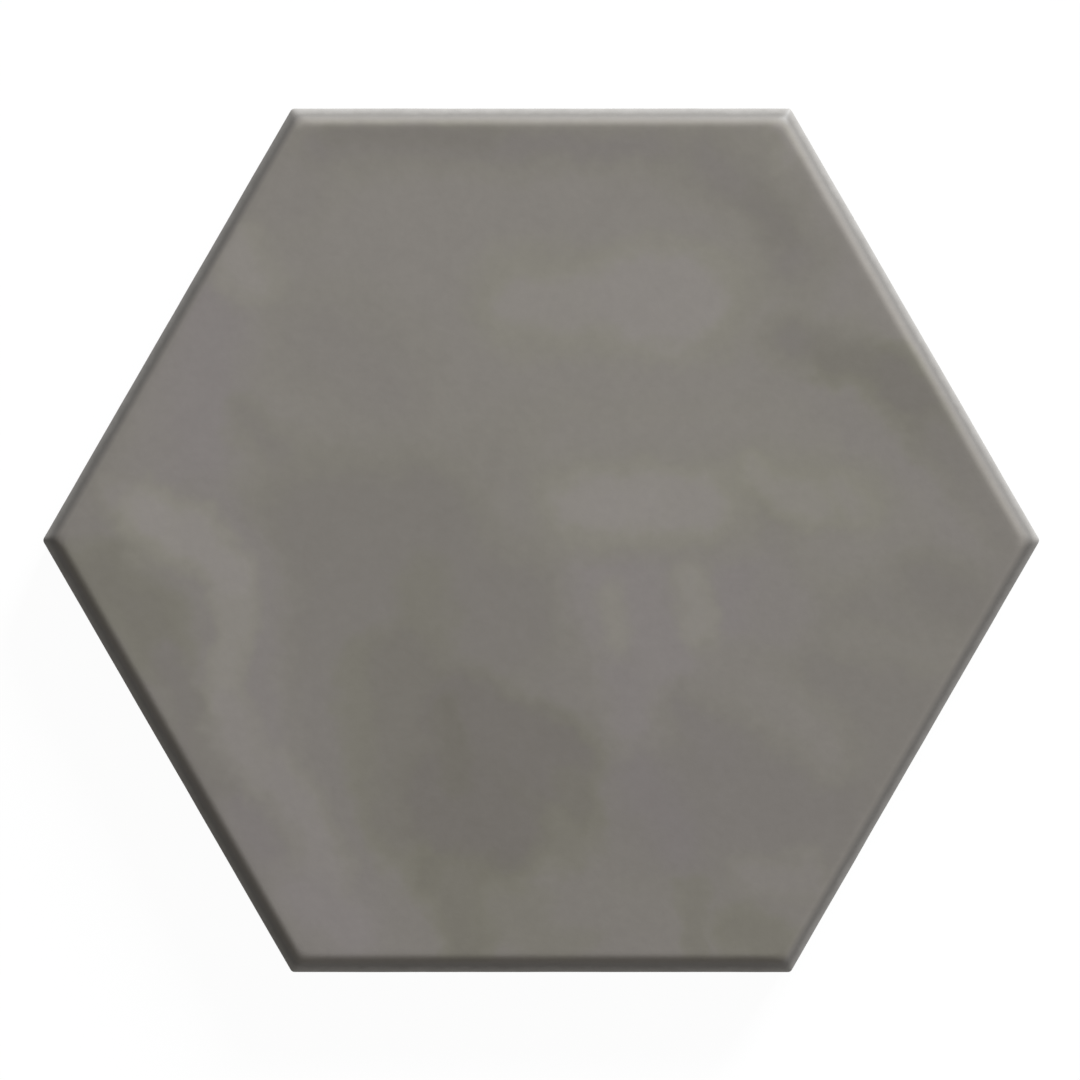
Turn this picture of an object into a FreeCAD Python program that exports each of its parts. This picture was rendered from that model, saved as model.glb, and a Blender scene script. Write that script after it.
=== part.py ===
# A pressed and glazed ceramic floor tile in the shape of a regular hexagon, lying face up.
# It is one fired piece. The face is edged by a bevel that meets it in a soft round, the sides
# lean in a little below their widest line, as the press die leaves them, and the back has a
# honeycomb of shallow cells that the adhesive keys into. The tile rests on the ribs between them.
# Millimetres, +Z up. The origin is at the centre of the back, in the plane of the rib tops.
# Two corners point along X, so two edges lie along X, one to the front and one to the back.

import FreeCAD, Part
import math
import os

import Sketcher

SIDES = 6
NEAR = 1e-4

# name, size, what it is
SIZES = [
    ("across_flats", 150.0, "between opposite edges, at the widest line"),
    ("tile_thickness", 9.0, "from the rib tops to the glazed face"),
    ("bevel_run", 2.4, "width of the bevel, seen from above, before its shoulder is rounded"),
    ("bevel_slope", 45.0, "degrees that the bevel falls away from the face"),
    ("shoulder_round", 3.0, "round where the face turns into the bevel"),
    ("corner_round", 0.8, "round down each of the six corners"),
    ("arris_round", 0.5, "round where the bevel meets the side"),
    ("parting_height", 3.5, "height of the die's parting line, where the tile is widest"),
    ("side_draft", 3.0, "degrees that the side leans in from there to the back"),
    ("back_chamfer", 0.5, "chamfer round the back"),
    ("cell_pitch", 17.0, "between the centres of neighbouring cells"),
    ("rib_width", 3.0, "rib between two cells, at its top"),
    ("cell_depth", 0.8, "how far a cell is sunk into the back"),
    ("cell_draft", 30.0, "degrees that a cell's walls lean"),
    ("back_margin", 6.0, "least plain border between the cells and the chamfer"),
]

# Formulas over those sizes.
BEVEL_RISE = "Sizes.bevel_run * tan(Sizes.bevel_slope)"
CELL_FLATS = "Sizes.cell_pitch - Sizes.rib_width"
BACK_FLATS = (
    "(Sizes.across_flats - 2 * Sizes.parting_height * tan(Sizes.side_draft)"
    " - 2 * Sizes.back_chamfer)"
)
CELLS_REACH = f"({BACK_FLATS} / 2 - Sizes.back_margin - ({CELL_FLATS}) / 2 / cos(30))"
RINGS = f"floor({CELLS_REACH} / (Sizes.cell_pitch * cos(30)))"


def fill_sheet(doc):
    """The tile's driving sizes, one to a row, with what each is."""
    sheet = doc.addObject("Spreadsheet::Sheet", "Sizes")
    for row, (name, size, meaning) in enumerate(SIZES, start=1):
        sheet.set(f"A{row}", name)
        sheet.set(f"B{row}", str(size))
        sheet.set(f"C{row}", meaning)
        sheet.setAlias(f"B{row}", name)
    doc.recompute()


def origin_feature(body, role):
    for feature in body.Origin.OriginFeatures:
        if feature.Role == role:
            return feature
    raise ValueError(f"the body has no {role}")


def hexagon_sketch(body, name, flats, drawn_flats, height="0", first_corner=0, x="0", drawn_x=0):
    """A regular hexagon in the circle through its corners, on a level plane of the body.

    flats, height and x are formulas over the sizes. The hexagon is first drawn at drawn_flats and
    drawn_x, which are what the formulas come to. first_corner is a corner's direction in degrees,
    0 or 30.
    """
    sketch = body.newObject("Sketcher::SketchObject", name)
    sketch.AttachmentSupport = [(origin_feature(body, "XY_Plane"), "")]
    sketch.MapMode = "FlatFace"
    sketch.setExpression("AttachmentOffset.Base.z", height)

    drawn_radius = drawn_flats / math.sqrt(3)
    middle = FreeCAD.Vector(drawn_x, 0, 0)
    corners = []
    for i in range(SIDES):
        turn = math.radians(first_corner + 360 / SIDES * i)
        reach = FreeCAD.Vector(math.cos(turn), math.sin(turn), 0) * drawn_radius
        corners.append(middle + reach)
    for i in range(SIDES):
        sketch.addGeometry(Part.LineSegment(corners[i], corners[(i + 1) % SIDES]), False)
    circle = sketch.addGeometry(Part.Circle(middle, FreeCAD.Vector(0, 0, 1), drawn_radius), True)

    start, end, centre, x_axis = 1, 2, 3, -1
    for i in range(SIDES):
        sketch.addConstraint(Sketcher.Constraint("Coincident", i, end, (i + 1) % SIDES, start))
        sketch.addConstraint(Sketcher.Constraint("PointOnObject", i, start, circle))
    for i in range(SIDES - 1):
        sketch.addConstraint(Sketcher.Constraint("Equal", i, i + 1))
    if first_corner:
        sketch.addConstraint(Sketcher.Constraint("Vertical", SIDES - 1))
    else:
        sketch.addConstraint(Sketcher.Constraint("Horizontal", 1))
    if drawn_x:
        sketch.addConstraint(Sketcher.Constraint("PointOnObject", circle, centre, x_axis))
        offset = sketch.addConstraint(
            Sketcher.Constraint("DistanceX", x_axis, start, circle, centre, drawn_x)
        )
        sketch.renameConstraint(offset, "along_x")
        sketch.setExpression("Constraints.along_x", x)
    else:
        sketch.addConstraint(Sketcher.Constraint("Coincident", circle, centre, x_axis, start))
    size = sketch.addConstraint(Sketcher.Constraint("Radius", circle, drawn_radius))
    sketch.renameConstraint(size, "corner_radius")
    sketch.setExpression("Constraints.corner_radius", f"({flats}) / sqrt(3)")
    return sketch


def edge_names(feature, wanted):
    """Names of the feature's edges whose list of end points passes the test."""
    names = []
    for i, edge in enumerate(feature.Shape.Edges, start=1):
        ends = [vertex.Point for vertex in edge.Vertexes]
        if len(ends) == 2 and wanted(ends):
            names.append(f"Edge{i}")
    return names


def dress(body, kind, name, base, edges, size_property, size):
    """A fillet or chamfer on edges of the feature before it."""
    feature = body.newObject(f"PartDesign::{kind}", name)
    feature.Base = (base, edges)
    feature.setExpression(size_property, size)
    body.Document.recompute()
    return feature


def all_at(ends, height):
    return all(abs(point.z - height) < NEAR for point in ends)


def runs_down_corner(ends):
    """True of an edge that lies in the upright plane through the middle and one of the corners."""
    for point in ends:
        corner = round(math.degrees(math.atan2(point.y, point.x)) / (360 / SIDES)) * 360 / SIDES
        turn = math.radians(corner)
        if abs(point.y * math.cos(turn) - point.x * math.sin(turn)) > NEAR:
            return False
    return abs(ends[0].z - ends[1].z) > NEAR


def level_face(feature, height):
    """Name of the feature's face that lies level at that height."""
    for i, face in enumerate(feature.Shape.Faces, start=1):
        if abs(face.BoundBox.ZMin - height) < NEAR and abs(face.BoundBox.ZMax - height) < NEAR:
            return f"Face{i}"
    raise ValueError(f"{feature.Name} has no level face at {height} mm")


def sink_cell(body, name, outline):
    """One cell, sunk into the back with leaning walls."""
    before = body.Tip.Shape.Volume
    pocket = body.newObject("PartDesign::Pocket", name)
    pocket.Profile = outline
    pocket.Reversed = True
    pocket.setExpression("Length", "Sizes.cell_depth")
    pocket.setExpression("TaperAngle", "-Sizes.cell_draft")
    body.Document.recompute()
    if pocket.Shape.Volume > before - NEAR:
        raise ValueError(f"{name} cuts nothing")
    return pocket


doc = FreeCAD.newDocument("HexagonTile")
fill_sheet(doc)
sizes = doc.Sizes

body = doc.addObject("PartDesign::Body", "hexagon_tile")
body.Label = "hexagon_tile"
body.Placement = FreeCAD.Placement()

# The upper half stands upright from the parting line. Its edges are soft, as pressed powder
# leaves them under a coat of glaze. The face's edges are rounded first and the corners last.
face_height = sizes.tile_thickness
rim_height = face_height - sizes.bevel_run * math.tan(math.radians(sizes.bevel_slope))
widest = hexagon_sketch(
    body, "widest_outline", "Sizes.across_flats", sizes.across_flats, height="Sizes.parting_height"
)
upper_half = body.newObject("PartDesign::Pad", "upper_half")
upper_half.Profile = widest
upper_half.setExpression("Length", "Sizes.tile_thickness - Sizes.parting_height")
doc.recompute()
top_edges = edge_names(upper_half, lambda ends: all_at(ends, face_height))
bevel = body.newObject("PartDesign::Chamfer", "bevel")
bevel.Base = (upper_half, top_edges)
bevel.ChamferType = "Two distances"
bevel.setExpression("Size", "Sizes.bevel_run")
bevel.setExpression("Size2", BEVEL_RISE)
doc.recompute()
face_edges = edge_names(bevel, lambda ends: all_at(ends, face_height))
shoulder = dress(body, "Fillet", "shoulder", bevel, face_edges, "Radius", "Sizes.shoulder_round")
rim_edges = edge_names(shoulder, lambda ends: all_at(ends, rim_height))
arris = dress(body, "Fillet", "arris", shoulder, rim_edges, "Radius", "Sizes.arris_round")
corner_edges = edge_names(arris, runs_down_corner)
corners = dress(body, "Fillet", "corners", arris, corner_edges, "Radius", "Sizes.corner_round")

# The lower half carries that outline on down, leaning in, to a chamfer round the back.
lower_half = body.newObject("PartDesign::Pad", "lower_half")
lower_half.Profile = (corners, [level_face(corners, sizes.parting_height)])
lower_half.setExpression("Length", "Sizes.parting_height")
lower_half.setExpression("TaperAngle", "-Sizes.side_draft")
doc.recompute()
back_edges = edge_names(lower_half, lambda ends: all_at(ends, 0))
dress(body, "Chamfer", "back_edge", lower_half, back_edges, "Size", "Sizes.back_chamfer")

# The honeycomb in the back fills a hexagon of whole rings round one middle cell. A rhombus of
# cells starts beside the middle, and three such rhombi, a third of a turn apart, fill the rings.
cell_flats = sizes.cell_pitch - sizes.rib_width
middle_outline = hexagon_sketch(
    body, "middle_cell_outline", CELL_FLATS, cell_flats, first_corner=30
)
sink_cell(body, "middle_cell", middle_outline)
first_outline = hexagon_sketch(
    body, "first_cell_outline", CELL_FLATS, cell_flats, first_corner=30,
    x="Sizes.cell_pitch", drawn_x=sizes.cell_pitch,
)
first_cell = sink_cell(body, "first_cell", first_outline)
rhombus = body.newObject("PartDesign::LinearPattern", "rhombus")
rhombus.Direction = (origin_feature(body, "X_Axis"), [""])
rhombus.Mode = "Spacing"
rhombus.setExpression("Offset", "Sizes.cell_pitch")
rhombus.setExpression("Occurrences", RINGS)
rhombus.Direction2 = (widest, ["Edge1"])
rhombus.Mode2 = "Extent"
rhombus.setExpression("Length2", f"{RINGS} * Sizes.cell_pitch")
rhombus.setExpression("Occurrences2", f"{RINGS} + 1")
thirds = body.newObject("PartDesign::PolarPattern", "thirds")
thirds.Axis = (origin_feature(body, "Z_Axis"), [""])
thirds.Occurrences = 3
honeycomb = body.newObject("PartDesign::MultiTransform", "honeycomb")
honeycomb.Originals = [first_cell]
honeycomb.Transformations = [rhombus, thirds]
body.Tip = honeycomb
doc.recompute()

for thing in doc.Objects:
    if "Invalid" in thing.State or "Error" in thing.State:
        raise ValueError(f"{thing.Name} is not sound: {thing.State}")
ring_count = rhombus.Occurrences
cell_count = 1 + 3 * ring_count * (ring_count + 1)
floors = [face for face in body.Shape.Faces if abs(face.CenterOfMass.z - sizes.cell_depth) < NEAR]
if len(floors) != cell_count:
    raise ValueError(f"{len(floors)} cells, and {cell_count} were meant")
shape = body.Shape
if shape.isNull() or not shape.isValid() or len(shape.Solids) != 1:
    raise ValueError("the tile is not one sound solid")
os.makedirs("parts", exist_ok=True)
shape.exportStep(f"parts/{body.Label}.step")
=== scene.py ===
import math

import bpy
import numpy as np
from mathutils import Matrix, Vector, noise


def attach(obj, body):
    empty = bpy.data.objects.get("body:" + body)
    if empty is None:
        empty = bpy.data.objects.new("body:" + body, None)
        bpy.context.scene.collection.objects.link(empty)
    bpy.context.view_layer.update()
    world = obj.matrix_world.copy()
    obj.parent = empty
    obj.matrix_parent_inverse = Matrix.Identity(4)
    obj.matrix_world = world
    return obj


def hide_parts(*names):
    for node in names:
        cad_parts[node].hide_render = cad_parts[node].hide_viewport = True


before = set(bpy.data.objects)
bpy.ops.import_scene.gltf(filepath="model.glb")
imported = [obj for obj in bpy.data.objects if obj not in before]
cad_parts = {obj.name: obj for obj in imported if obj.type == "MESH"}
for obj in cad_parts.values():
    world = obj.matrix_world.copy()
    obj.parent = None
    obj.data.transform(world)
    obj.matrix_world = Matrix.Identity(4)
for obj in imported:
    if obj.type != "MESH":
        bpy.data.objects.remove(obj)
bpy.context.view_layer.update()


# The pressed body. The tile is one piece of grey stoneware powder, pressed face up in a steel
# die, glazed and fired. The die gives it a bevel round the face with a soft shoulder, upright
# sides to the parting line, and sides that lean in from there to a chamfer round the back.
MM = 0.001
SIDES = 6
HALF_FLATS = 75.0
THICKNESS = 9.0
BEVEL_RUN = 2.4
BEVEL_SLOPE = math.radians(45)
SHOULDER_ROUND = 3.0
ARRIS_ROUND = 0.5
ARRIS_HEIGHT = THICKNESS - BEVEL_RUN * math.tan(BEVEL_SLOPE)
PARTING_HEIGHT = 3.5
SIDE_DRAFT = math.radians(3)
BACK_CHAMFER = 0.5
FACE_CORNER_ROUND = 3.0
SIDE_CORNER_ROUND = 0.8
FACE_EDGE = HALF_FLATS - BEVEL_RUN - SHOULDER_ROUND * math.tan(BEVEL_SLOPE / 2)

# How finely it is divided. Points crowd towards the corners within their reach of them.
FACE_RINGS = 112
SETTLING_RINGS = 14
SHOULDER_ROWS = 8
ARRIS_ROWS = 5
UPRIGHT_ROWS = 5
DRAFT_ROWS = 4
CORNER_REACH = 8.0
CORNER_CROWDING = 1.9


def edge_profile():
    """Rows down the tile's edge: how far out, how high, and how round in the corners."""
    rows = []
    for turn in np.linspace(0, BEVEL_SLOPE, SHOULDER_ROWS):
        out = FACE_EDGE + SHOULDER_ROUND * math.sin(turn)
        rows.append((out, THICKNESS - SHOULDER_ROUND + SHOULDER_ROUND * math.cos(turn)))
    arris_centre = ARRIS_HEIGHT - ARRIS_ROUND * math.tan((math.pi / 2 - BEVEL_SLOPE) / 2)
    arris = []
    for turn in np.linspace(BEVEL_SLOPE, math.pi / 2, ARRIS_ROWS):
        out = HALF_FLATS - ARRIS_ROUND + ARRIS_ROUND * math.sin(turn)
        arris.append((out, arris_centre + ARRIS_ROUND * math.cos(turn)))
    shoulder_end = np.array(rows[-1])
    for share in (1 / 3, 2 / 3):
        rows.append(tuple(shoulder_end + (np.array(arris[0]) - shoulder_end) * share))
    rows += arris
    for height in np.linspace(arris[-1][1], PARTING_HEIGHT, UPRIGHT_ROWS)[1:]:
        rows.append((HALF_FLATS, height))
    for height in np.linspace(PARTING_HEIGHT, BACK_CHAMFER, DRAFT_ROWS)[1:]:
        rows.append((HALF_FLATS - (PARTING_HEIGHT - height) * math.tan(SIDE_DRAFT), height))
    rows.append((rows[-1][0] - BACK_CHAMFER, 0.0))

    profile = []
    for out, height in rows:
        if height > PARTING_HEIGHT:
            towards_side = (out - FACE_EDGE) / (HALF_FLATS - FACE_EDGE)
            corner_round = FACE_CORNER_ROUND + (SIDE_CORNER_ROUND - FACE_CORNER_ROUND) * towards_side
        else:
            corner_round = SIDE_CORNER_ROUND - (HALF_FLATS - out)
        profile.append((out, height, corner_round))
    return profile


def hexagon_ring(out, corner_round, per_side, settled):
    """Points round a hexagon. A settled ring crowds them in its corners, which are round."""
    half_turn = math.pi / SIDES
    side = 2 * out * math.tan(half_turn)
    tangent = corner_round * math.tan(half_turn)
    ring = []
    for corner in range(SIDES):
        for step in range(per_side):
            along = side * step / per_side
            from_start = along < side / 2
            nearest = min(along, side - along)
            if nearest < CORNER_REACH:
                crowded = CORNER_REACH * (nearest / CORNER_REACH) ** CORNER_CROWDING
                nearest += (crowded - nearest) * settled
            if nearest < tangent:
                turn = half_turn * nearest / tangent
                arc_centre = (out - corner_round) / math.cos(half_turn)
                x = arc_centre + corner_round * math.cos(turn)
                y = corner_round * math.sin(turn)
            else:
                x = out / math.cos(half_turn) - nearest * math.sin(half_turn)
                y = nearest * math.cos(half_turn)
            if not from_start:
                y = -y
            facing = (corner if from_start else corner + 1) * 2 * half_turn
            cosine = math.cos(facing)
            sine = math.sin(facing)
            ring.append((x * cosine - y * sine, x * sine + y * cosine))
    return ring


def press_body():
    """The closed body: a face of even triangles, its edge, and a flat back."""
    points = [(0.0, 0.0, THICKNESS)]
    faces = []
    ring_start = [0]
    profile = edge_profile()
    for k in range(1, FACE_RINGS + 1):
        settled = max(0.0, 1 - (FACE_RINGS - k) / SETTLING_RINGS)
        settled = settled * settled * (3 - 2 * settled)
        ring_start.append(len(points))
        out = FACE_EDGE * k / FACE_RINGS
        for x, y in hexagon_ring(out, profile[0][2] * settled, k, settled):
            points.append((x, y, THICKNESS))
        for side in range(SIDES):
            for step in range(k):
                outer = ring_start[k] + side * k + step
                next_outer = ring_start[k] + (side * k + step + 1) % (SIDES * k)
                inside = max(k - 1, 1) * SIDES
                inner = ring_start[k - 1] + (side * (k - 1) + step) % inside if k > 1 else 0
                faces.append((outer, next_outer, inner))
                if step < k - 1:
                    next_inner = ring_start[k - 1] + (side * (k - 1) + step + 1) % inside
                    faces.append((inner, next_outer, next_inner))
    round_the_edge = SIDES * FACE_RINGS
    above = ring_start[-1]
    for out, height, corner_round in profile[1:]:
        below = len(points)
        for x, y in hexagon_ring(out, corner_round, FACE_RINGS, 1.0):
            points.append((x, y, height))
        for i in range(round_the_edge):
            j = (i + 1) % round_the_edge
            faces.append((above + i, below + i, below + j, above + j))
        above = below
    faces.append(tuple(above + i for i in reversed(range(round_the_edge))))
    mesh = bpy.data.meshes.new("pressed_body")
    mesh.from_pydata((np.array(points) * MM).tolist(), [], faces)
    mesh.update()
    return mesh


def linear(hex_colour):
    """A colour written as sRGB hex, as the linear colour a shader takes."""
    colour = []
    for i in (1, 3, 5):
        level = int(hex_colour[i:i + 2], 16) / 255
        colour.append(level / 12.92 if level <= 0.04045 else ((level + 0.055) / 1.055) ** 2.4)
    return (*colour, 1.0)


def scale_of(feature):
    """The scale at which a pattern's features are that many millimetres."""
    return 1 / (feature * MM)


def node(tree, kind, inputs=(), **settings):
    """A node with its settings. inputs maps its sockets to values or to other nodes' sockets."""
    made = tree.nodes.new(kind)
    for name, value in settings.items():
        setattr(made, name, value)
    for socket, value in dict(inputs).items():
        if isinstance(value, bpy.types.NodeSocket):
            tree.links.new(value, made.inputs[socket])
        else:
            made.inputs[socket].default_value = value
    return made


def new_material(name):
    """A material with an empty tree."""
    material = bpy.data.materials.new(name)
    material.use_nodes = True
    tree = material.node_tree
    tree.nodes.clear()
    return material, tree


# Pressed stoneware, fired bare: a matt, slightly chalky warm grey with fine dark iron specks and
# the faint grit of the powder. Grains are about 0.2 mm, and specks are up to 0.9 mm across. The
# speck's core and rim are shares of the spacing of the specks.
STONEWARE = "#88837b"
STONEWARE_DARK = "#7c776e"
STONEWARE_SPECK = "#59534b"
STONEWARE_ROUGHNESS = 0.82
CERAMIC_IOR = 1.5
FIRING_CLOUD = 18.18
SPECK_SPACING = 2.381
SPECK_CORE = 0.13
SPECK_RIM = 0.2
SPECK_SHOW = 0.55
GRIT = 0.2381
GRIT_DEPTH = 0.06
GRIT_SHOW = 0.6

pressed_stoneware, tree = new_material("pressed_stoneware")
place = node(tree, "ShaderNodeTexCoord").outputs["Object"]
cloudy = node(
    tree, "ShaderNodeTexNoise", {"Vector": place, "Scale": scale_of(FIRING_CLOUD), "Detail": 4.0}
)
body_colour = node(
    tree, "ShaderNodeMix", {0: cloudy.outputs[0], 6: linear(STONEWARE_DARK), 7: linear(STONEWARE)},
    data_type="RGBA",
)
specks = node(tree, "ShaderNodeTexVoronoi", {"Vector": place, "Scale": scale_of(SPECK_SPACING)})
speck_mask = node(
    tree, "ShaderNodeMapRange",
    {0: specks.outputs["Distance"], 1: SPECK_CORE, 2: SPECK_RIM, 3: SPECK_SHOW, 4: 0.0},
)
specked = node(
    tree, "ShaderNodeMix",
    {0: speck_mask.outputs[0], 6: body_colour.outputs[2], 7: linear(STONEWARE_SPECK)},
    data_type="RGBA",
)
grit = node(tree, "ShaderNodeTexNoise", {"Vector": place, "Scale": scale_of(GRIT), "Detail": 3.0})
grit_bump = node(
    tree, "ShaderNodeBump",
    {"Height": grit.outputs[0], "Distance": GRIT_DEPTH * MM, "Strength": GRIT_SHOW},
)
surface = node(
    tree, "ShaderNodeBsdfPrincipled",
    {"Base Color": specked.outputs[2], "Roughness": STONEWARE_ROUGHNESS, "IOR": CERAMIC_IOR,
     "Normal": grit_bump.outputs[0]},
)
node(tree, "ShaderNodeOutputMaterial", {"Surface": surface.outputs[0]})

body_mesh = press_body()
tile = bpy.data.objects.new("hexagon_tile_glazed", body_mesh)
bpy.context.scene.collection.objects.link(tile)


# The keyed back. The lower punch of the press sinks a honeycomb of shallow cells into the powder,
# with walls that lean so that it lifts out clean. Adhesive fills them and holds the tile down.
# The clearance is how far the punch's teeth start below the back.
CELL_PITCH = 17.0
RIB_WIDTH = 3.0
CELL_DEPTH = 0.8
CELL_DRAFT = math.radians(30)
CELL_RINGS = 4
LIP_WIDTH = 0.2
CLEARANCE = 0.3
MERGE_DISTANCE = 0.001

key_tree = bpy.data.node_groups.new("honeycomb_key", "GeometryNodeTree")
sockets = {}
for name, kind, value in (
    ("Body", "NodeSocketGeometry", None),
    ("Cell Pitch", "NodeSocketFloat", CELL_PITCH * MM),
    ("Rib Width", "NodeSocketFloat", RIB_WIDTH * MM),
    ("Cell Depth", "NodeSocketFloat", CELL_DEPTH * MM),
    ("Wall Lean", "NodeSocketFloat", math.tan(CELL_DRAFT)),
    ("Lip Width", "NodeSocketFloat", LIP_WIDTH * MM),
    ("Rings", "NodeSocketInt", CELL_RINGS),
    ("Bare Height", "NodeSocketFloat", PARTING_HEIGHT * MM),
    ("Stoneware", "NodeSocketMaterial", pressed_stoneware),
):
    socket = key_tree.interface.new_socket(name=name, in_out="INPUT", socket_type=kind)
    if value is not None:
        socket.default_value = value
    sockets[name] = socket.identifier
key_tree.interface.new_socket(name="Tile", in_out="OUTPUT", socket_type="NodeSocketGeometry")
given = node(key_tree, "NodeGroupInput").outputs


def worked_out(operation, *values):
    """What the tree works out from these values."""
    return node(key_tree, "ShaderNodeMath", enumerate(values), operation=operation).outputs[0]


# One point for each cell, on a square grid that is sheared into rows of a honeycomb.
span = worked_out("MULTIPLY", given["Rings"], 2.0)
across = worked_out("ADD", span, 1.0)
grid = node(
    key_tree, "GeometryNodeMeshGrid",
    {"Size X": span, "Size Y": span, "Vertices X": across, "Vertices Y": across},
)
position = node(key_tree, "GeometryNodeInputPosition").outputs[0]
spot = node(key_tree, "ShaderNodeSeparateXYZ", {0: position})
column = spot.outputs[0]
row = spot.outputs[1]
ring_of_spot = worked_out("ABSOLUTE", worked_out("ADD", column, row))
last_ring = worked_out("ADD", given["Rings"], 0.5)
kept = node(
    key_tree, "GeometryNodeDeleteGeometry",
    {"Geometry": grid.outputs[0], "Selection": worked_out("GREATER_THAN", ring_of_spot, last_ring)},
)
sheared = worked_out("ADD", column, worked_out("MULTIPLY", row, math.sin(math.pi / SIDES)))
cell_x = worked_out("MULTIPLY", sheared, given["Cell Pitch"])
row_place = worked_out("MULTIPLY", row, given["Cell Pitch"])
cell_y = worked_out("MULTIPLY", row_place, math.cos(math.pi / SIDES))
cell_place = node(key_tree, "ShaderNodeCombineXYZ", {0: cell_x, 1: cell_y, 2: 0.0})
lattice = node(
    key_tree, "GeometryNodeSetPosition",
    {"Geometry": kept.outputs[0], "Position": cell_place.outputs[0]},
)


def punch(depth, extra_width, lean):
    """The punch's teeth: six-sided, narrower at the tip, set on every point of the lattice."""
    to_corner = 1 / math.cos(math.pi / SIDES)
    flats = worked_out("SUBTRACT", given["Cell Pitch"], given["Rib Width"])
    mouth = worked_out("ADD", worked_out("MULTIPLY", flats, 0.5), extra_width)
    tip = worked_out("SUBTRACT", mouth, worked_out("MULTIPLY", depth, lean))
    root = worked_out("ADD", mouth, worked_out("MULTIPLY", lean, CLEARANCE * MM))
    tooth = node(
        key_tree, "GeometryNodeMeshCone",
        {"Vertices": SIDES, "Radius Top": worked_out("MULTIPLY", tip, to_corner),
         "Radius Bottom": worked_out("MULTIPLY", root, to_corner),
         "Depth": worked_out("ADD", depth, CLEARANCE * MM)},
    )
    low = node(key_tree, "ShaderNodeCombineXYZ", {0: 0.0, 1: 0.0, 2: -CLEARANCE * MM})
    turned = node(
        key_tree, "GeometryNodeTransform",
        {"Geometry": tooth.outputs[0], "Translation": low.outputs[0],
         "Rotation": (0, 0, math.pi / SIDES)},
    )
    teeth = node(
        key_tree, "GeometryNodeInstanceOnPoints",
        {"Points": lattice.outputs[0], "Instance": turned.outputs[0]},
    )
    return node(key_tree, "GeometryNodeRealizeInstances", {"Geometry": teeth.outputs[0]}).outputs[0]


teeth = punch(given["Cell Depth"], 0.0, given["Wall Lean"])
lips = punch(given["Lip Width"], given["Lip Width"], 1.0)
pressed = node(
    key_tree, "GeometryNodeMeshBoolean", {"Mesh 1": given["Body"], "Mesh 2": teeth},
    operation="DIFFERENCE", solver="MANIFOLD",
)
softened = node(
    key_tree, "GeometryNodeMeshBoolean", {"Mesh 1": pressed.outputs[0], "Mesh 2": lips},
    operation="DIFFERENCE", solver="MANIFOLD",
)
merged = node(
    key_tree, "GeometryNodeMergeByDistance",
    {"Geometry": softened.outputs[0], "Distance": MERGE_DISTANCE * MM},
)
whole = node(key_tree, "GeometryNodeRealizeInstances", {"Geometry": merged.outputs[0]})
position = node(key_tree, "GeometryNodeInputPosition").outputs[0]
height = node(key_tree, "ShaderNodeSeparateXYZ", {0: position}).outputs[2]
bare = node(
    key_tree, "GeometryNodeSetMaterial",
    {"Geometry": whole.outputs[0], "Selection": worked_out("LESS_THAN", height, given["Bare Height"]),
     "Material": given["Stoneware"]},
)
node(key_tree, "NodeGroupOutput", {0: bare.outputs[0]})


# The glaze. A cloudy grey satin glaze covers the face, the bevel and the upper sides. It is thinner
# and paler over the swells of the body, pools darker and more olive in its hollows, and draws back
# to a paler line along the arris, which is partly a painted glint. Its lower limit on the sides is
# uneven, where it was wiped.
EVEN_PALENESS = 0.53
EVEN_WARMTH = 0.45
RIM_WARMTH = 1.2
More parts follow.
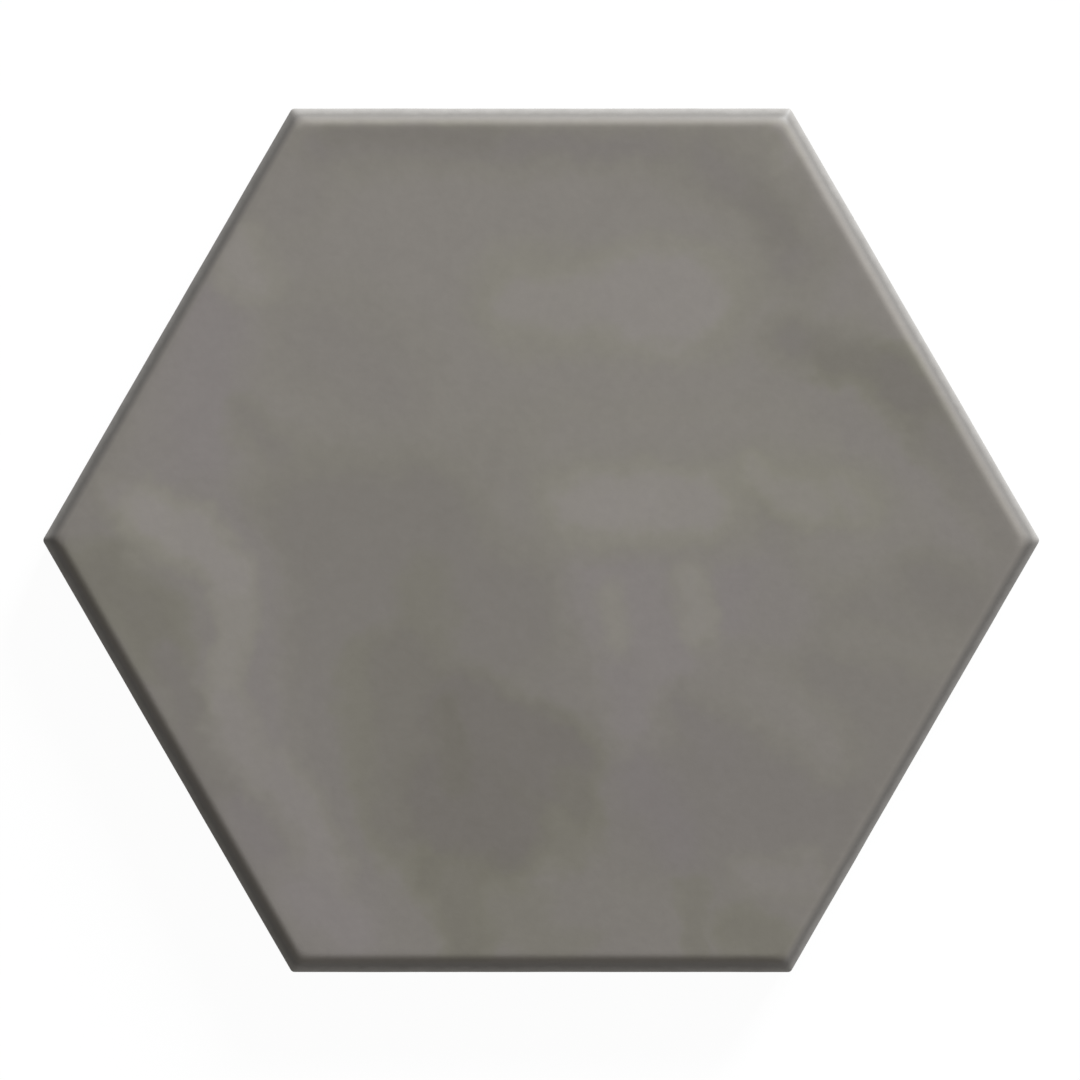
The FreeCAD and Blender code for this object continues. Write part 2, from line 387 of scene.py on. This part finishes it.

# Paleness goes from 0, where the glaze is thickest, to 1, and warmth from mauve at 0 to olive at
# 1. Each cloud is a stroke through points in millimetres, with its half width, how soft its edge
# is from 0 to 1, and the paleness and warmth that it tends to. Later clouds lie over earlier
# ones, and the rim of each is more olive.
# Some strokes are painted shade or a painted highlight, as marked.
CLOUDS = [
    # broad shades of the upper and lower halves
    ([(-46, 42), (0, 46), (44, 44)], 30, 0.5, 0.68, 0.45),
    ([(-38, 35), (-27, 27)], 9, 0.8, 0.59, 0.45),
    ([(-60, 40), (-66, 14)], 9, 0.8, 0.66, 0.3),
    ([(-44, 58), (-40, 64)], 6, 0.8, 0.61, 0.45),
    ([(-56.5, 42), (-59, 12)], 5.5, 0.7, 0.65, 0.1),
    ([(48, 52), (52, 44)], 5, 0.8, 0.66, 0.4),
    ([(20, -46), (46, -44)], 13, 0.7, 0.43, 0.35),
    ([(46, -16), (62, -30)], 11, 0.7, 0.47, 0.5),
    ([(46, 22), (72, 4)], 8, 0.8, 0.62, 0.35),
    ([(4, 17), (44, 17)], 6, 0.8, 0.69, 0.5),
    ([(8, -9), (38, -10)], 11, 0.5, 0.61, 0.3),
    ([(50, -2), (60, 2)], 6, 0.8, 0.64, 0.5),
    ([(-50, -40), (-34, -66)], 8, 0.5, 0.5, 0.1),
    # plateau left of the middle
    ([(-38, 3), (-20, 3)], 10.5, 0.5, 0.44, 0.5),
    ([(-34, -14), (-7, -12)], 12, 0.4, 0.45, 0.45),
    ([(-37, -30), (-36, -50)], 8, 0.5, 0.48, 0.4),
    ([(-51, 22), (-45, 15)], 3.2, 0.8, 0.52, 0.55),
    ([(-20, -7), (-20, -16)], 4, 0.8, 0.4, 0.85),
    # dark pool in the lower middle: its olive rim, its core and its foot
    ([(-31, -21), (-30, -36), (-24, -53)], 4.4, 0.5, 0.4, 0.9),
    ([(3, -38), (3, -51)], 6.2, 0.5, 0.37, 0.9),
    ([(-24, -22), (-23, -46)], 7.2, 0.4, 0.3, 0.6),
    ([(-13, -30), (2, -39)], 8.2, 0.35, 0.23, 0.35),
    ([(-16, -44), (-9, -50)], 9.2, 0.3, 0.18, 0.35),
    ([(5, -42), (7, -46)], 3.4, 0.6, 0.25, 0.7),
    ([(-18, -58), (-8, -59)], 4.5, 0.6, 0.2, 0.8),
    ([(-14, -60), (-12, -68)], 5, 0.5, 0.3, 0.85),
    ([(-6, -64), (4, -68)], 5, 0.7, 0.45, 0.8),
    ([(-16, -30), (-14.5, -42)], 2.2, 0.7, 0.13, 0.6),
    # painted shade in the left corner and along the lower left edge, and the notch below the streak
    ([(-77, -6), (-69, -12), (-65.5, -18)], 5.2, 0.6, 0.31, 0.8),
    ([(-64, -20), (-60.5, -34), (-56, -42)], 3.0, 0.7, 0.4, 0.4),
    ([(-50, -44), (-43, -49)], 3, 0.7, 0.46, 0.1),
    # dark band in the right corner
    ([(44, 34), (54, 32)], 4.4, 0.9, 0.43, 0.45),
    ([(50, 31), (57, 30)], 3.2, 0.9, 0.31, 0.7),
    ([(61, 28.5), (68, 20)], 5.0, 0.6, 0.28, 0.5),
    ([(69, 18), (76, 8)], 3.6, 1.0, 0.45, 0.5),
    ([(76, 9), (80, 2)], 3.0, 1.0, 0.5, 0.5),
    # painted shade under the upper edge, the clouds down its right end, and a painted highlight in its
    # right corner
    ([(-37, 68), (20, 68)], 3.6, 1.0, 0.48, 0.35),
    ([(-34, 70), (-10, 70)], 2.2, 0.9, 0.38, 0.5),
    ([(27, 66), (34, 62), (40, 56), (44, 48)], 5.0, 1.0, 0.48, 0.4),
    ([(38, 58), (42, 53)], 2.6, 1.0, 0.4, 0.5),
    ([(40, 70), (43, 66)], 1.8, 1.0, 0.8, 0.4),
    # right and lower right
    ([(67, -7), (73, -11)], 4.6, 0.8, 0.42, 0.5),
    ([(53, -17), (70, -20)], 3, 0.9, 0.57, 0.6),
    ([(26, -60), (27, -72)], 2.2, 0.7, 0.38, 0.8),
    ([(34, -67), (42, -70)], 3.4, 0.7, 0.34, 0.9),
    ([(36, -58), (46, -58)], 3.2, 0.7, 0.6, 0.4),
    ([(5, -64), (20, -63)], 3.2, 0.7, 0.53, 0.5),
    # pale wisps below the bar, with mauve between them
    ([(13, -7), (20, -21)], 9.5, 0.6, 0.67, 0.1),
    ([(33.5, 3), (32.5, -16)], 3, 0.8, 0.62, 0.1),
    ([(12, -10), (13.5, -17)], 2.4, 1.0, 0.77, 0.6),
    ([(26, -7), (27.5, -16)], 2.5, 1.0, 0.81, 0.5),
    ([(25, -29), (31, -37)], 4, 0.8, 0.44, 0.3),
    ([(14, -24), (17, -35)], 4.0, 0.8, 0.62, 0.1),
    ([(17, -40), (24, -52)], 4.0, 0.8, 0.45, 0.1),
    ([(33, -22), (39, -27), (45, -31), (50, -37)], 4.6, 0.8, 0.6, 0.5),
    # pale streak down the left
    ([(-58, 2), (-51, -10), (-52, -24), (-50, -34)], 7.5, 0.5, 0.6, 0.2),
    ([(-73, 8), (-66, 4)], 3.2, 0.8, 0.74, 0.3),
    ([(-68, 3.5), (-60, 0.5)], 4.8, 0.7, 0.92, 0.3),
    ([(-60, 1), (-54, -5), (-52, -12)], 3.7, 0.7, 0.87, 0.3),
    ([(-52, -12), (-53, -19), (-55, -28)], 2.8, 0.8, 0.81, 0.5),
    ([(-55, -28), (-52, -35), (-46, -41)], 3.0, 0.8, 0.75, 0.3),
    ([(-46, -41), (-42, -46), (-37, -57)], 3.8, 0.8, 0.7, 0.25),
    ([(-41, -61), (-32, -68)], 5.6, 0.7, 0.65, 0.1),
    # pale clouds: upper left, lobe and oval in their olive rim, bar and its neighbour
    ([(-54, 50), (-50, 45.5)], 4.4, 0.8, 0.85, 0.4),
    ([(-3, 41.5), (28, 41.5)], 10, 0.3, 0.69, 0.8),
    ([(-3, 41), (6, 41)], 5.6, 0.5, 0.82, 0.4),
    ([(17, 42), (23.5, 41)], 9.2, 0.35, 0.86, 0.3),
    ([(-2, 6), (30, 6)], 7, 0.8, 0.62, 0.5),
    ([(7, 6), (30, 6)], 7.6, 0.6, 0.68, 0.75),
    ([(8, 6.5), (27, 6.5)], 5.9, 0.5, 0.85, 0.35),
    ([(10, 6), (18, 6)], 3.5, 0.7, 0.9, 0.3),
    ([(40, 11), (54, 8)], 5.5, 0.7, 0.66, 0.9),
    ([(37, 12), (40, 10)], 2.5, 0.8, 0.8, 0.7),
    ([(43, 8), (47, 6)], 3.2, 0.8, 0.78, 0.6),
    ([(52, 9), (54, 6)], 3.0, 0.8, 0.77, 0.6),
]

# Noise adds the rest: how far and in what sizes the clouds' edges are torn, in millimetres, and
# how much paleness the broad shade and the finer wisps add, their sizes and their seeds.
TEARS = ((1.7, 8.0), (1.3, 3.0), (0.7, 1.4))
TEAR_SEEDS = (1, 11)
BROAD_SHADE = (0.04, 24.0, 5)
WISPS = ((0.025, 5.5, 6), (0.015, 1.9, 7))
SEED_STEP = (17.3, 5.1, 9.7)

# The clouds end a little below the face. The coat on the bevel is even, and paler towards the top
# side as painted light.
CLOUDS_END = 0.5
BEVEL_PALENESS = 0.36
BEVEL_WARMTH = 0.45
TOP_BEVEL_PAINTED_LIGHT = 0.2
TOP_BEVEL_LIGHT_FALL = 4

# How much the glaze stands out, in millimetres: with its thickness, in waves across the face, in
# beads along the bevel, and how far it draws in at the arris. Each noise has a size and a seed.
SWELL_HEIGHT = 0.04
WAVE_HEIGHT = 0.05
WAVES = (38.0, 8)
BEAD_HEIGHT = 0.05
BEADS = (2.6, 21)
DRAW_IN = 0.06
DRAW_IN_NOISE = (6.0, 9)


def noise_at(points, size, seed):
    """Smooth noise from -1 to 1 at each point, in features of about that many millimetres."""
    shift = Vector([seed * step for step in SEED_STEP])
    return np.array([noise.noise(Vector(point) / size + shift) for point in points])


def away_from(points, stroke):
    """Each point's distance from a stroke."""
    nearest = np.full(len(points), np.inf)
    for start, end in zip(stroke[:-1], stroke[1:]):
        start = np.array(start, float)
        run = np.array(end, float) - start
        share = np.clip(((points - start) @ run) / (run @ run), 0, 1)
        nearest = np.minimum(nearest, np.linalg.norm(points - start - share[:, None] * run, axis=1))
    return nearest


def cloudiness(places):
    """Paleness and warmth of the glaze at each place, with some painted shade and highlight."""
    torn = np.stack([
        sum(reach * noise_at(places, size, seed + i) for i, (reach, size) in enumerate(TEARS))
        for seed in TEAR_SEEDS
    ], axis=1)
    flat = places[:, :2] + torn
    shade, shade_size, shade_seed = BROAD_SHADE
    paleness = EVEN_PALENESS + shade * noise_at(places, shade_size, shade_seed)
    warmth = np.full(len(places), EVEN_WARMTH)
    for stroke, half_width, softness, cloud_paleness, cloud_warmth in CLOUDS:
        fade = half_width * softness
        inside = np.clip((half_width + fade - away_from(flat, stroke)) / (2 * fade), 0, 1)
        inside = inside * inside * (3 - 2 * inside)
        rim = 4 * inside * (1 - inside) * np.abs(cloud_paleness - paleness)
        paleness += (cloud_paleness - paleness) * inside
        warmth += (cloud_warmth - warmth) * inside + RIM_WARMTH * rim
    for show, size, seed in WISPS:
        paleness += show * noise_at(places, size, seed)
    return paleness, warmth


def lay_glaze(mesh):
    """Keeps the glaze's clouds, with their painted shade and light, on the mesh and lets its surface
    swell and sink with them.
    """
    places = np.empty(len(mesh.vertices) * 3)
    mesh.vertices.foreach_get("co", places)
    places = places.reshape(-1, 3) / MM
    paleness, warmth = cloudiness(places)

    evened = np.clip((THICKNESS - places[:, 2]) / CLOUDS_END, 0, 1)
    # Painted light: the edge below the face grows paler towards the top side (+Y), most near the top
    # edge.
    painted_top_light = np.clip(places[:, 1] / HALF_FLATS, 0, 1) ** TOP_BEVEL_LIGHT_FALL
    paleness += (BEVEL_PALENESS + TOP_BEVEL_PAINTED_LIGHT * painted_top_light - paleness) * evened
    warmth += (BEVEL_WARMTH - warmth) * evened

    waves = 0.5 + 0.5 * noise_at(places, *WAVES)
    sunk = SWELL_HEIGHT * (1 - np.clip(paleness, 0, 1)) + WAVE_HEIGHT * waves
    up_the_bevel = np.clip((places[:, 2] - ARRIS_HEIGHT) / (THICKNESS - ARRIS_HEIGHT), 0, 1)
    glazed = places[:, 2] > PARTING_HEIGHT
    out = np.linalg.norm(places[:, :2], axis=1)
    drawn_in = DRAW_IN * (0.5 + 0.5 * noise_at(places, *DRAW_IN_NOISE)) * glazed * (1 - up_the_bevel)
    beads = 0.5 + 0.5 * noise_at(places, *BEADS)
    beaded = BEAD_HEIGHT * beads * 4 * up_the_bevel * (1 - up_the_bevel)
    places[:, 2] += beaded - sunk * up_the_bevel
    places[:, :2] -= places[:, :2] / np.maximum(out, 1)[:, None] * drawn_in[:, None]
    mesh.vertices.foreach_set("co", (places * MM).ravel())

    for name, values in (("paleness", paleness), ("warmth", warmth)):
        mesh.attributes.new(name, "FLOAT", "POINT").data.foreach_set("value", values)
    mesh.update()


# Satin glaze: a coloured glass full of fine crystals that scatter its shine. It is mottled at
# 2 mm and finer by the crystals, and its skin has the faint peel of a sprayed coat. The bevel is
# darkened and a little cooled as painted shade, and the arris carries a pale line, partly where the
# body shows through and partly a painted glint.
GLAZE_POOLED = "#67645e"
GLAZE_EVEN = "#787571"
GLAZE_THIN = "#8a8782"
MAUVE_TINT = "#fffafe"
OLIVE_TINT = "#fffef2"
BEVEL_SHADE_TINT = "#dadcde"
ARRIS_PALE_AND_GLINT = "#918e8a"
NOISE_LOW = 0.3
NOISE_HIGH = 0.7
MOTTLE = 1.613
MOTTLE_SHOW = 0.035

# Heights in millimetres below the face: the shoulder, where the glaze drains and is paler, partly
# as a painted highlight, and the stretch over which the painted shade comes onto the bevel. It is
# a little rougher there.
SHOULDER_DRAIN = 0.2
SHOULDER_PALENESS_AND_HIGHLIGHT = 0.13
SHADE_AND_ROUGHENING_START = 0.2
SHADE_AND_ROUGHENING_END = 0.85
BEVEL_ROUGHENING = 0.1

# The pale line's reach above the arris and below it, the height to which the sides are glazed,
# and how far up and down both of them waver. The pale line is partly the body showing through the
# glaze and partly a painted glint along the rim.
ARRIS_SHOW = 0.8
ARRIS_REACH = 1.25
ARRIS_LOWER_START = 0.25
ARRIS_LOWER_END = 0.6
WEAR = 2.222
WEAR_WAVER = 0.35
WIPED_HEIGHT = 4.3
WIPED_BLUR = 0.12
RUNS = 5.882
RUN_WAVER = 1.1

# The shine, which the crystals dull in patches, and the peel.
CRYSTAL_PATCH = 3.333
GLOSS_CLEAR = 0.36
GLOSS_DULL = 0.48
GLAZE_SPECULAR = 0.2
PEEL = 1.111
PEEL_DEPTH = 0.02
PEEL_SHOW = 0.5

satin_glaze, tree = new_material("satin_glaze_on_stoneware")
place = node(tree, "ShaderNodeTexCoord").outputs["Object"]
height = node(tree, "ShaderNodeSeparateXYZ", {0: place}).outputs[2]
pale = node(tree, "ShaderNodeAttribute", attribute_name="paleness").outputs["Fac"]
warm = node(tree, "ShaderNodeAttribute", attribute_name="warmth").outputs["Fac"]
mottle = node(tree, "ShaderNodeTexNoise", {"Vector": place, "Scale": scale_of(MOTTLE), "Detail": 3.0})
mottle = node(
    tree, "ShaderNodeMapRange",
    {0: mottle.outputs[0], 1: NOISE_LOW, 2: NOISE_HIGH, 3: -MOTTLE_SHOW, 4: MOTTLE_SHOW},
)
mottled = node(tree, "ShaderNodeMath", {0: pale, 1: mottle.outputs[0]}, operation="ADD")
# Partly painted highlight: the shoulder is made paler, as well as where the glaze drains.
drained_and_highlit = node(
    tree, "ShaderNodeMapRange",
    {0: height, 1: (THICKNESS - SHOULDER_DRAIN) * MM, 2: THICKNESS * MM, 3: SHOULDER_PALENESS_AND_HIGHLIGHT, 4: 0.0},
)
thinned_and_highlit = node(tree, "ShaderNodeMath", {0: mottled.outputs[0], 1: drained_and_highlit.outputs[0]}, operation="ADD")
ramp = node(tree, "ShaderNodeValToRGB", {0: thinned_and_highlit.outputs[0]})
stops = ramp.color_ramp.elements
stops[0].color = linear(GLAZE_POOLED)
stops[1].color = linear(GLAZE_THIN)
stops.new(0.5).color = linear(GLAZE_EVEN)
tint = node(
    tree, "ShaderNodeMix", {0: warm, 6: linear(MAUVE_TINT), 7: linear(OLIVE_TINT)},
    data_type="RGBA",
)
tinted = node(
    tree, "ShaderNodeMix", {0: 1.0, 6: ramp.outputs[0], 7: tint.outputs[2]},
    data_type="RGBA", blend_type="MULTIPLY",
)
# Painted shade: the bevel is darkened with the shade tint, from a little below the face down.
bevel_shade_and_roughening = node(
    tree, "ShaderNodeMapRange",
    {0: height, 1: (THICKNESS - SHADE_AND_ROUGHENING_END) * MM, 2: (THICKNESS - SHADE_AND_ROUGHENING_START) * MM,
     3: 1.0, 4: 0.0},
)
painted_bevel_shade = node(
    tree, "ShaderNodeMix", {0: bevel_shade_and_roughening.outputs[0], 6: tinted.outputs[2], 7: linear(BEVEL_SHADE_TINT)},
    data_type="RGBA", blend_type="MULTIPLY",
)
wear = node(tree, "ShaderNodeTexNoise", {"Vector": place, "Scale": scale_of(WEAR), "Detail": 2.0})
wear = node(
    tree, "ShaderNodeMapRange", {0: wear.outputs[0], 3: -WEAR_WAVER * MM, 4: WEAR_WAVER * MM}
)
wavering = node(tree, "ShaderNodeMath", {0: height, 1: wear.outputs[0]}, operation="ADD")
above_arris = node(
    tree, "ShaderNodeMapRange",
    {0: wavering.outputs[0], 1: ARRIS_HEIGHT * MM, 2: (ARRIS_HEIGHT + ARRIS_REACH) * MM,
     3: ARRIS_SHOW, 4: 0.0},
)
below_arris = node(
    tree, "ShaderNodeMapRange",
    {0: wavering.outputs[0], 1: (ARRIS_HEIGHT - ARRIS_LOWER_END) * MM,
     2: (ARRIS_HEIGHT - ARRIS_LOWER_START) * MM, 3: 0.0, 4: 1.0},
)
thin_and_glinting = node(
    tree, "ShaderNodeMath", {0: above_arris.outputs[0], 1: below_arris.outputs[0]},
    operation="MULTIPLY",
)
# Partly painted glint: the pale arris line, as well as the body showing through.
glaze_colour = node(
    tree, "ShaderNodeMix", {0: thin_and_glinting.outputs[0], 6: painted_bevel_shade.outputs[2], 7: linear(ARRIS_PALE_AND_GLINT)},
    data_type="RGBA",
)
runs = node(tree, "ShaderNodeTexNoise", {"Vector": place, "Scale": scale_of(RUNS), "Detail": 3.0})
runs = node(
    tree, "ShaderNodeMapRange", {0: runs.outputs[0], 3: -RUN_WAVER * MM, 4: RUN_WAVER * MM}
)
uneven = node(tree, "ShaderNodeMath", {0: height, 1: runs.outputs[0]}, operation="ADD")
bare = node(
    tree, "ShaderNodeMapRange",
    {0: uneven.outputs[0], 1: (WIPED_HEIGHT - WIPED_BLUR) * MM, 2: (WIPED_HEIGHT + WIPED_BLUR) * MM,
     3: 1.0, 4: 0.0},
).outputs[0]
colour = node(
    tree, "ShaderNodeMix", {0: bare, 6: glaze_colour.outputs[2], 7: linear(STONEWARE)},
    data_type="RGBA",
)
crystals = node(
    tree, "ShaderNodeTexNoise", {"Vector": place, "Scale": scale_of(CRYSTAL_PATCH), "Detail": 4.0}
)
gloss = node(
    tree, "ShaderNodeMapRange",
    {0: crystals.outputs[0], 1: NOISE_LOW, 2: NOISE_HIGH, 3: GLOSS_CLEAR, 4: GLOSS_DULL},
)
roughened = node(
    tree, "ShaderNodeMath", {0: bevel_shade_and_roughening.outputs[0], 1: BEVEL_ROUGHENING, 2: gloss.outputs[0]},
    operation="MULTIPLY_ADD",
)
roughness = node(
    tree, "ShaderNodeMix", {0: bare, 2: roughened.outputs[0], 3: STONEWARE_ROUGHNESS}
)
peel = node(tree, "ShaderNodeTexNoise", {"Vector": place, "Scale": scale_of(PEEL), "Detail": 2.0})
peel_bump = node(
    tree, "ShaderNodeBump",
    {"Height": peel.outputs[0], "Distance": PEEL_DEPTH * MM, "Strength": PEEL_SHOW},
)
surface = node(
    tree, "ShaderNodeBsdfPrincipled",
    {"Base Color": colour.outputs[2], "Roughness": roughness.outputs[0], "IOR": CERAMIC_IOR,
     "Specular IOR Level": GLAZE_SPECULAR, "Normal": peel_bump.outputs[0]},
)
node(tree, "ShaderNodeOutputMaterial", {"Surface": surface.outputs[0]})

body_mesh.materials.append(satin_glaze)
pressing = tile.modifiers.new("honeycomb_key", "NODES")
pressing.node_group = key_tree
pressing[sockets["Rings"]] = CELL_RINGS
pressed_tile = tile.evaluated_get(bpy.context.evaluated_depsgraph_get())
tile_mesh = bpy.data.meshes.new_from_object(pressed_tile)
tile.modifiers.clear()
tile.data = tile_mesh
tile_mesh.name = "hexagon_tile_glazed"
lay_glaze(tile_mesh)
CREASE = math.radians(25)
tile_mesh.polygons.foreach_set("use_smooth", [True] * len(tile_mesh.polygons))
tile_mesh.set_sharp_from_angle(angle=CREASE)

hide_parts("hexagon_tile")
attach(tile, "root")


# The studio: a pale floor just under the tile, a broad lamp low on the upper right, a weak one
# low on the lower right, and a dim, warm surround that looks white where it is seen directly.
# The floor glows nearly white there too, and its sheen keeps the tile's shadow.
FLOOR_REACH = 3.0
FLOOR_DROP = 0.2
FLOOR_GLOW = 0.965
FLOOR_SHEEN = "#3a3a3a"
FLOOR_GREY = "#cbcbcb"
WHITE = "#ffffff"
SURROUND_COLOUR = "#fffbf4"
SURROUND_STRENGTH = 0.2

floor_mesh = bpy.data.meshes.new("studio_floor")
floor_corners = [
    (x * FLOOR_REACH, y * FLOOR_REACH, 0) for x, y in ((-1, -1), (1, -1), (1, 1), (-1, 1))
]
floor_mesh.from_pydata(floor_corners, [], [(0, 1, 2, 3)])
floor = bpy.data.objects.new("studio_floor", floor_mesh)
floor.location.z = -FLOOR_DROP * MM
bpy.context.scene.collection.objects.link(floor)


def seen_directly(tree):
    """1 for camera, glossy and transmission rays, 0 for the rest."""
    rays = node(tree, "ShaderNodeLightPath").outputs
    seen = node(
        tree, "ShaderNodeMath", {0: rays["Is Camera Ray"], 1: rays["Is Glossy Ray"]},
        operation="ADD",
    )
    return node(
        tree, "ShaderNodeMath", {0: seen.outputs[0], 1: rays["Is Transmission Ray"]},
        operation="ADD", use_clamp=True,
    ).outputs[0]


white_floor, tree = new_material("white_studio_floor")
glow = node(tree, "ShaderNodeEmission", {"Color": linear(WHITE), "Strength": FLOOR_GLOW})
sheen = node(tree, "ShaderNodeBsdfDiffuse", {"Color": linear(FLOOR_SHEEN)})
shown = node(tree, "ShaderNodeAddShader", {0: glow.outputs[0], 1: sheen.outputs[0]})
matt = node(tree, "ShaderNodeBsdfDiffuse", {"Color": linear(FLOOR_GREY)})
both = node(
    tree, "ShaderNodeMixShader", {0: seen_directly(tree), 1: matt.outputs[0], 2: shown.outputs[0]}
)
node(tree, "ShaderNodeOutputMaterial", {"Surface": both.outputs[0]})
floor_mesh.materials.append(white_floor)

world = bpy.data.worlds.new("studio")
bpy.context.scene.world = world
world.use_nodes = True
tree = world.node_tree
tree.nodes.clear()
dim = node(
    tree, "ShaderNodeBackground", {"Color": linear(SURROUND_COLOUR), "Strength": SURROUND_STRENGTH}
)
white = node(tree, "ShaderNodeBackground", {"Color": linear(WHITE), "Strength": 1.0})
both = node(
    tree, "ShaderNodeMixShader", {0: seen_directly(tree), 1: dim.outputs[0], 2: white.outputs[0]}
)
node(tree, "ShaderNodeOutputWorld", {"Surface": both.outputs[0]})


def lamp(name, azimuth, elevation, away, width, watts, colour):
    """A square soft lamp that faces the tile. Azimuth runs from +X towards +Y."""
    light = bpy.data.lights.new(name, "AREA")
    light.shape = "SQUARE"
    light.size = width
    light.energy = watts
    light.color = linear(colour)[:3]
    a = math.radians(azimuth)
    e = math.radians(elevation)
    towards = Vector((math.cos(e) * math.cos(a), math.cos(e) * math.sin(a), math.sin(e)))
    holder = bpy.data.objects.new(name, light)
    holder.location = towards * away
    holder.rotation_euler = towards.to_track_quat("Z", "Y").to_euler()
    bpy.context.scene.collection.objects.link(holder)


lamp("key_lamp", azimuth=60.5, elevation=16, away=10.0, width=2.75, watts=2930.0, colour="#f7fafe")
lamp("low_fill_lamp", azimuth=-60, elevation=10, away=10.0, width=4.0, watts=220.0, colour=WHITE)

# The camera looks straight down from half a metre, and the frame's width is the one it has at the
# height of the arris, where the outline is. It stands a little off the tile's centre.
FRAME_WIDTH = 187.45
CAMERA_X = -0.2
CAMERA_Y = 0.05
camera_data = bpy.data.cameras.new("camera")
camera_data.lens = 100.0
camera_data.sensor_width = 36.0
camera = bpy.data.objects.new("camera", camera_data)
above_arris = FRAME_WIDTH * camera_data.lens / camera_data.sensor_width
camera.location = Vector((CAMERA_X, CAMERA_Y, ARRIS_HEIGHT + above_arris)) * MM
bpy.context.scene.collection.objects.link(camera)
bpy.context.scene.camera = camera
bpy.context.scene.view_settings.view_transform = "Standard"
